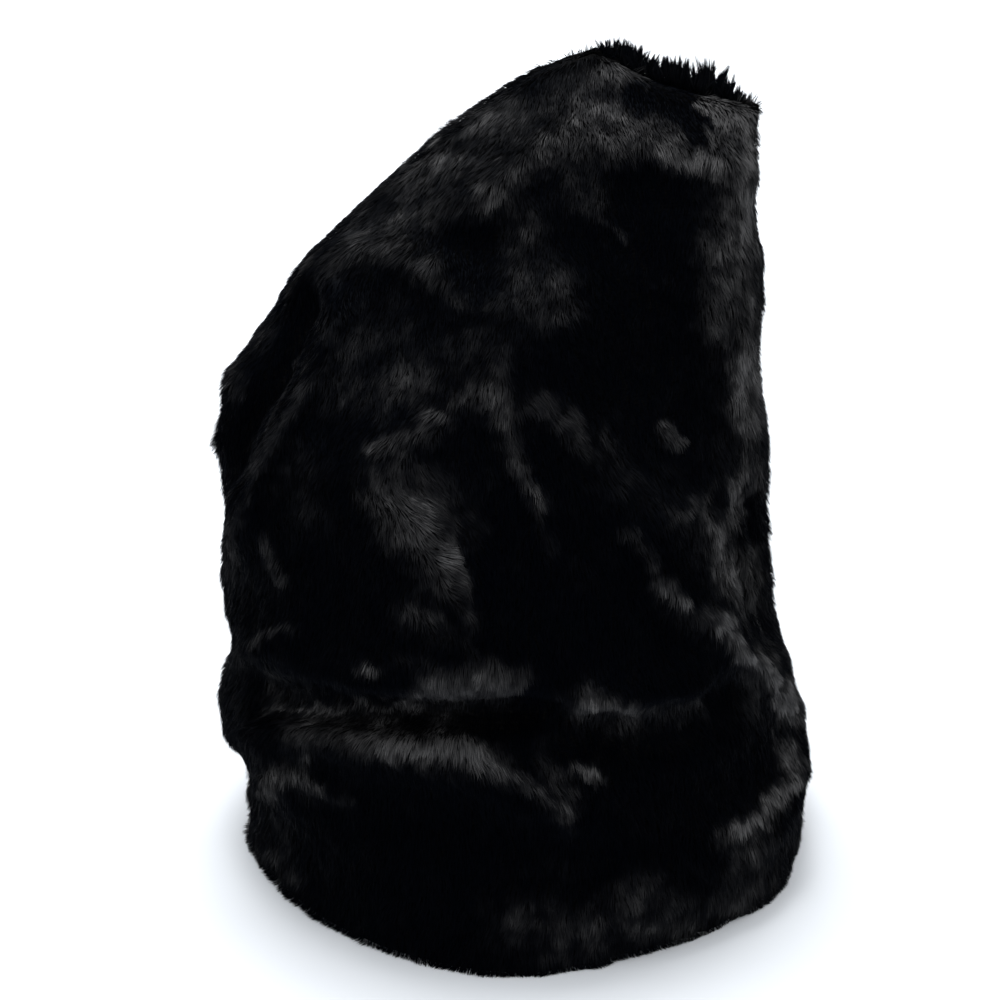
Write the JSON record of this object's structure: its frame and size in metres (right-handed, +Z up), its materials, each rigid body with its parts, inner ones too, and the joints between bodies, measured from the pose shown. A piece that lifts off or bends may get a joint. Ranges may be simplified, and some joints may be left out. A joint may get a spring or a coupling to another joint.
{
  "type": "faux fur hat",
  "caption": "Tall soft faux fur hat standing on its open rim, with a slouched crease over the head band, a slanting crown and ruffled pile behind its top seam.",
  "frame": {"origin": "on the floor, under the middle of the hat's box", "axes": "+Z up the hat from its open rim, -Y towards the front, +X towards the right-hand side as seen from the front"},
  "size_m": [0.2106, 0.2266, 0.2952],
  "materials": {
    "front_fur": "black plush pile, lying downwards",
    "back_fur": "black plush pile, lying downwards",
    "ruffle_fur": "black plush pile, standing up"
  },
  "bodies": {
    "root": {"front_panel": "front_fur", "back_panel": "back_fur", "seam_ruffle": "ruffle_fur"}
  },
  "joints": []
}
